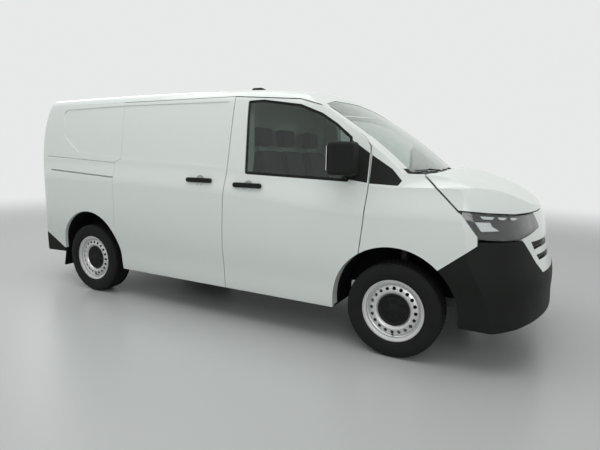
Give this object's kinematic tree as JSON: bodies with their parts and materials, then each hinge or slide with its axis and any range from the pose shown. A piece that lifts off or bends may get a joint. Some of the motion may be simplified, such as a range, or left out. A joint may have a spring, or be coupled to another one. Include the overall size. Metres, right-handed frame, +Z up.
{
  "type": "panel van",
  "caption": "Mid-size panel van with hinged cab doors, bonnet and rear doors, a side loading door, a cab with seats and an open load space.",
  "frame": {"origin": "on the ground, under the middle of the van's box", "axes": "+X towards the nose, +Y towards the van's left side, +Z up"},
  "size_m": [5.0493, 2.3778, 2.062],
  "materials": {
    "body_paint": "semi-gloss white paint",
    "black_plastic": "grained black plastic",
    "glass_dark": "tinted window glass",
    "glass_screen": "green tinted glass",
    "lamp_lens": "clear lens over a dark housing",
    "lamp_red": "red lens",
    "steel_silver": "silver painted steel",
    "tyre": "matt rubber",
    "steel_dark": "bare and waxed steel",
    "casting": "rough cast",
    "tank_plastic": "blow-moulded black plastic",
    "trim_grey": "moulded grey plastic",
    "seat_cloth": "woven cloth",
    "liner": "moulded liner"
  },
  "bodies": {
    "body": {"floor": "body_paint", "side_panel_left": "body_paint", "side_panel_right": "body_paint", "sliding_door": "body_paint", "roof": "body_paint", "cab_frame": "body_paint", "wings": "body_paint", "front_bumper": "black_plastic", "grille": "body_paint", "headlamps": "lamp_lens", "windscreen": "glass_screen", "cowl": "black_plastic", "rear_bumper": "black_plastic", "tail_lamps": "lamp_red", "bulkhead": "body_paint", "dashboard": "trim_grey", "driver_seat": "seat_cloth", "passenger_bench": "seat_cloth", "engine": "casting", "front_subframe": "steel_dark", "rear_axle": "steel_dark", "fuel_tank": "tank_plastic", "exhaust": "steel_dark", "wheel_houses": "liner", "antenna": "black_plastic", "sliding_handle": "black_plastic", "rear_hinges": "steel_dark"},
    "bonnet": {"bonnet": "body_paint"},
    "steering_wheel": {"steering_wheel": "trim_grey"},
    "front_door_left": {"front_door_left": "body_paint", "door_glass_left": "glass_dark", "door_trim_left": "black_plastic", "mirror_left": "black_plastic"},
    "rear_door_left": {"rear_door_left": "body_paint"},
    "knuckle_left": {"knuckle_left": "casting"},
    "wheel_front_left": {"tyre_front_left": "tyre", "rim_front_left": "steel_silver"},
    "wheel_rear_left": {"tyre_rear_left": "tyre", "rim_rear_left": "steel_silver"},
    "front_door_right": {"front_door_right": "body_paint", "door_glass_right": "glass_dark", "door_trim_right": "black_plastic", "mirror_right": "black_plastic"},
    "rear_door_right": {"rear_door_right": "body_paint"},
    "knuckle_right": {"knuckle_right": "casting"},
    "wheel_front_right": {"tyre_front_right": "tyre", "rim_front_right": "steel_silver"},
    "wheel_rear_right": {"tyre_rear_right": "tyre", "rim_rear_right": "steel_silver"}
  },
  "joints": [
    {"name": "bonnet_hinge", "type": "hinge", "parent": "body", "child": "bonnet", "pos_m": [1.695, 0, 1.29], "axis": [0, 1, 0], "range_deg": [-55, 0]},
    {"name": "front_door_left_hinge", "type": "hinge", "parent": "body", "child": "front_door_left", "pos_m": [1.24, 0.992, 0.9], "axis": [0, 0, 1], "range_deg": [-70, 0]},
    {"name": "rear_door_left_hinge", "type": "hinge", "parent": "body", "child": "rear_door_left", "pos_m": [-2.43, 0.812, 1.2], "axis": [0, 0, 1], "range_deg": [-175, 0]},
    {"name": "steer_left", "type": "hinge", "parent": "body", "child": "knuckle_left", "pos_m": [1.555, 0.8, 0.338], "axis": [0, 0, 1], "range_deg": [-35, 35]},
    {"name": "wheel_front_left_spin", "type": "hinge", "parent": "knuckle_left", "child": "wheel_front_left", "pos_m": [1.555, 0.872, 0.338], "axis": [0, 1, 0], "continuous": true},
    {"name": "wheel_rear_left_spin", "type": "hinge", "parent": "body", "child": "wheel_rear_left", "pos_m": [-1.545, 0.872, 0.338], "axis": [0, 1, 0], "continuous": true},
    {"name": "front_door_right_hinge", "type": "hinge", "parent": "body", "child": "front_door_right", "pos_m": [1.24, -0.992, 0.9], "axis": [0, 0, 1], "range_deg": [0, 70]},
    {"name": "rear_door_right_hinge", "type": "hinge", "parent": "body", "child": "rear_door_right", "pos_m": [-2.43, -0.812, 1.2], "axis": [0, 0, 1], "range_deg": [0, 175]},
    {"name": "steer_right", "type": "hinge", "parent": "body", "child": "knuckle_right", "pos_m": [1.555, -0.8, 0.338], "axis": [0, 0, 1], "range_deg": [-35, 35]},
    {"name": "wheel_front_right_spin", "type": "hinge", "parent": "knuckle_right", "child": "wheel_front_right", "pos_m": [1.555, -0.872, 0.338], "axis": [0, 1, 0], "continuous": true},
    {"name": "wheel_rear_right_spin", "type": "hinge", "parent": "body", "child": "wheel_rear_right", "pos_m": [-1.545, -0.872, 0.338], "axis": [0, 1, 0], "continuous": true},
    {"name": "steering_wheel_turn", "type": "hinge", "parent": "body", "child": "steering_wheel", "pos_m": [1, 0.425, 1.13], "axis": [-0.766, 0, 0.6428], "range_deg": [-540, 540]}
  ],
  "couplings": [
    {"joint": "steer_right", "follows": "steer_left", "ratio": 1},
    {"joint": "steering_wheel_turn", "follows": "steer_left", "ratio": 15.428}
  ]
}
